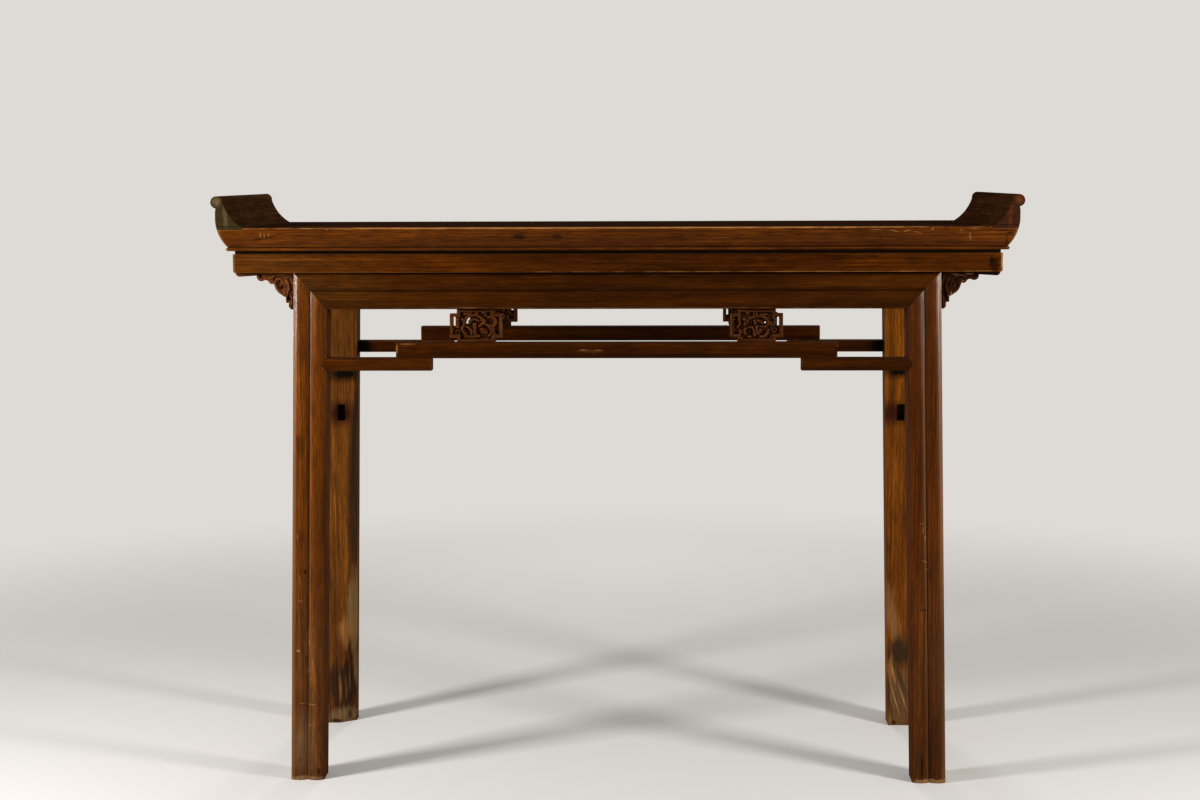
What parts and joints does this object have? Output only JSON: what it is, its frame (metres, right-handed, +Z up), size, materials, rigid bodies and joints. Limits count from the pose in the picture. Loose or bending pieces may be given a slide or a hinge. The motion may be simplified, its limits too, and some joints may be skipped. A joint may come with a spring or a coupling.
{
  "type": "altar table",
  "caption": "Long altar table with everted ends, reeded legs mitred to reeded rails, narrow aprons, stepped stretchers and small openwork blocks.",
  "frame": {"origin": "on the floor, under the middle of the table", "axes": "+X along the top to the right, +Y to the back, +Z up; the pictured front faces -Y"},
  "size_m": [1.28, 0.41, 0.95],
  "materials": {
    "top_wood": "satin",
    "flange_wood": "satin",
    "apron_wood": "satin",
    "leg_wood": "satin",
    "bar_wood": "satin",
    "carved_wood": "satin",
    "inner_wood": "raw"
  },
  "bodies": {
    "root": {"top_panel": "top_wood", "front_long_rail": "top_wood", "rear_long_rail": "top_wood", "left_end_rail": "top_wood", "right_end_rail": "top_wood", "left_flange": "flange_wood", "right_flange": "flange_wood", "front_upper_apron": "apron_wood", "rear_upper_apron": "apron_wood", "left_end_apron": "apron_wood", "right_end_apron": "apron_wood", "front_reeded_rail": "apron_wood", "rear_reeded_rail": "apron_wood", "front_left_leg": "leg_wood", "front_right_leg": "leg_wood", "rear_left_leg": "leg_wood", "rear_right_leg": "leg_wood", "front_left_short_bar": "bar_wood", "front_right_short_bar": "bar_wood", "rear_left_short_bar": "bar_wood", "rear_right_short_bar": "bar_wood", "front_long_bar": "bar_wood", "rear_long_bar": "bar_wood", "front_left_spandrel": "carved_wood", "front_right_spandrel": "carved_wood", "rear_left_spandrel": "carved_wood", "rear_right_spandrel": "carved_wood", "front_left_ornament": "carved_wood", "front_right_ornament": "carved_wood", "rear_left_ornament": "carved_wood", "rear_right_ornament": "carved_wood", "left_batten": "inner_wood", "middle_batten": "inner_wood", "right_batten": "inner_wood", "lap_tenons": "inner_wood", "block_tenons": "inner_wood"}
  },
  "joints": []
}
